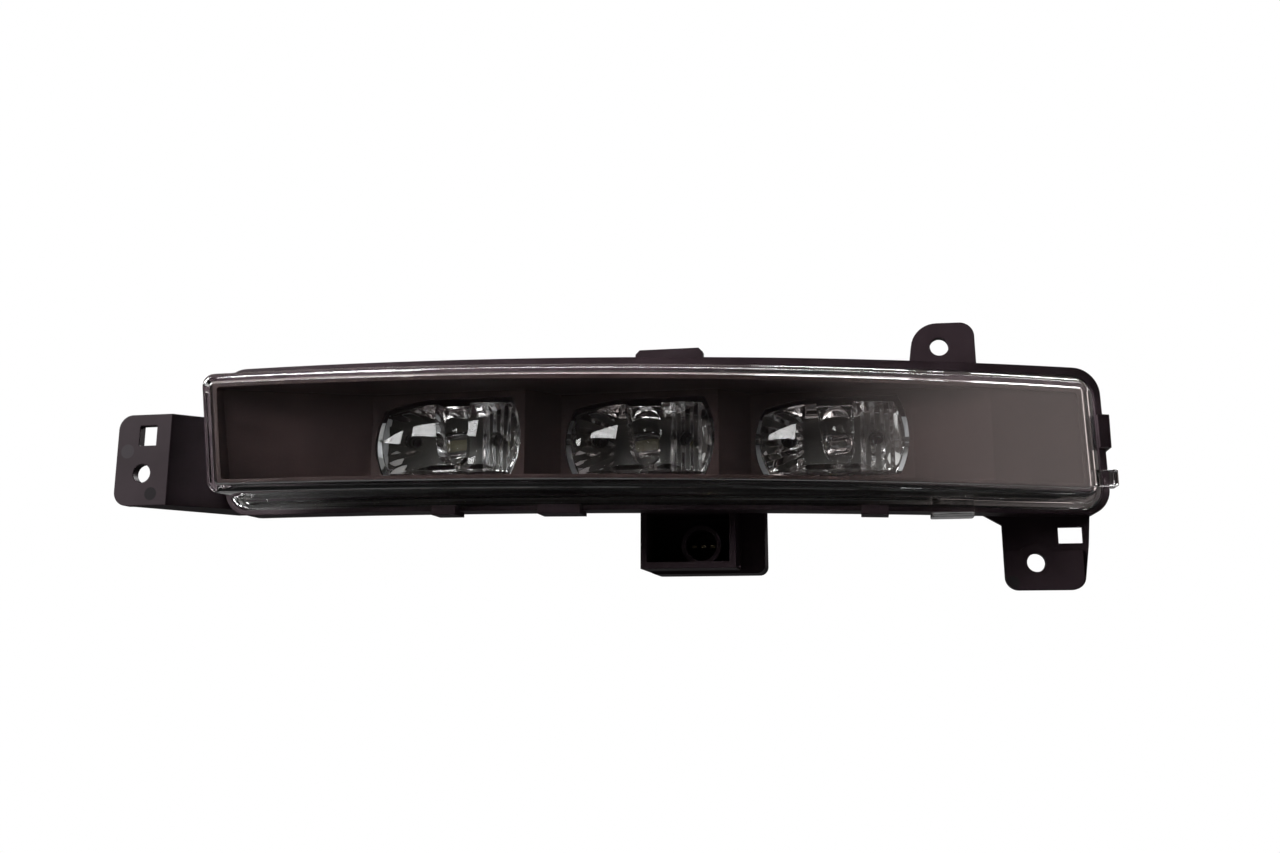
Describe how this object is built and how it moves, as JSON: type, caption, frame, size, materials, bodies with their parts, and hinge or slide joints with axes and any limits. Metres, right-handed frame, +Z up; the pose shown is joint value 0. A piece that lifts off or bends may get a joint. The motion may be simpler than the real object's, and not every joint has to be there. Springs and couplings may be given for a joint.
{
  "type": "auxiliary driving light",
  "caption": "Long slim swept-back driving light: black housing with fixing tabs and a socket hood, clear bowed lens and clear optics in a dark stepped bezel.",
  "frame": {"origin": "centre of the left fixing hole on the tab's front face", "axes": "+X along the lamp towards its swept-back outer end, +Y into the vehicle along the beam axis, +Z up"},
  "size_m": [0.3387, 0.1002, 0.0923],
  "materials": {
    "housing_black": "moulded satin",
    "lens_clear": "clear polished polycarbonate",
    "seal_grey": "soft sealant",
    "bezel_dark": "fine satin",
    "optic_clear": "clear polished acrylic",
    "led_yellow": "phosphor",
    "board_green": "solder resist",
    "pad_grey": "soft",
    "sink_metal": "die cast",
    "screw_steel": "zinc plated",
    "parts_black": "moulded",
    "pin_brass": "tinned",
    "lead_black": "insulation",
    "membrane_white": "matt film",
    "cap_rubber": "matt"
  },
  "bodies": {
    "root": {"rear_housing": "housing_black", "outer_lens": "lens_clear", "lens_seal": "seal_grey", "bezel": "bezel_dark", "optic_left": "optic_clear", "optic_centre": "optic_clear", "optic_right": "optic_clear", "led_left": "led_yellow", "led_centre": "led_yellow", "led_right": "led_yellow", "led_board_left": "board_green", "led_board_centre": "board_green", "led_board_right": "board_green", "thermal_pad_left": "pad_grey", "thermal_pad_centre": "pad_grey", "thermal_pad_right": "pad_grey", "heat_sink": "sink_metal", "sink_screws": "screw_steel", "board_screws": "screw_steel", "driver_board": "board_green", "driver_parts": "parts_black", "driver_screws": "screw_steel", "connector_pins": "pin_brass", "board_leads": "lead_black", "supply_leads": "lead_black", "vent_membrane": "membrane_white", "vent_cap": "cap_rubber"}
  },
  "joints": []
}
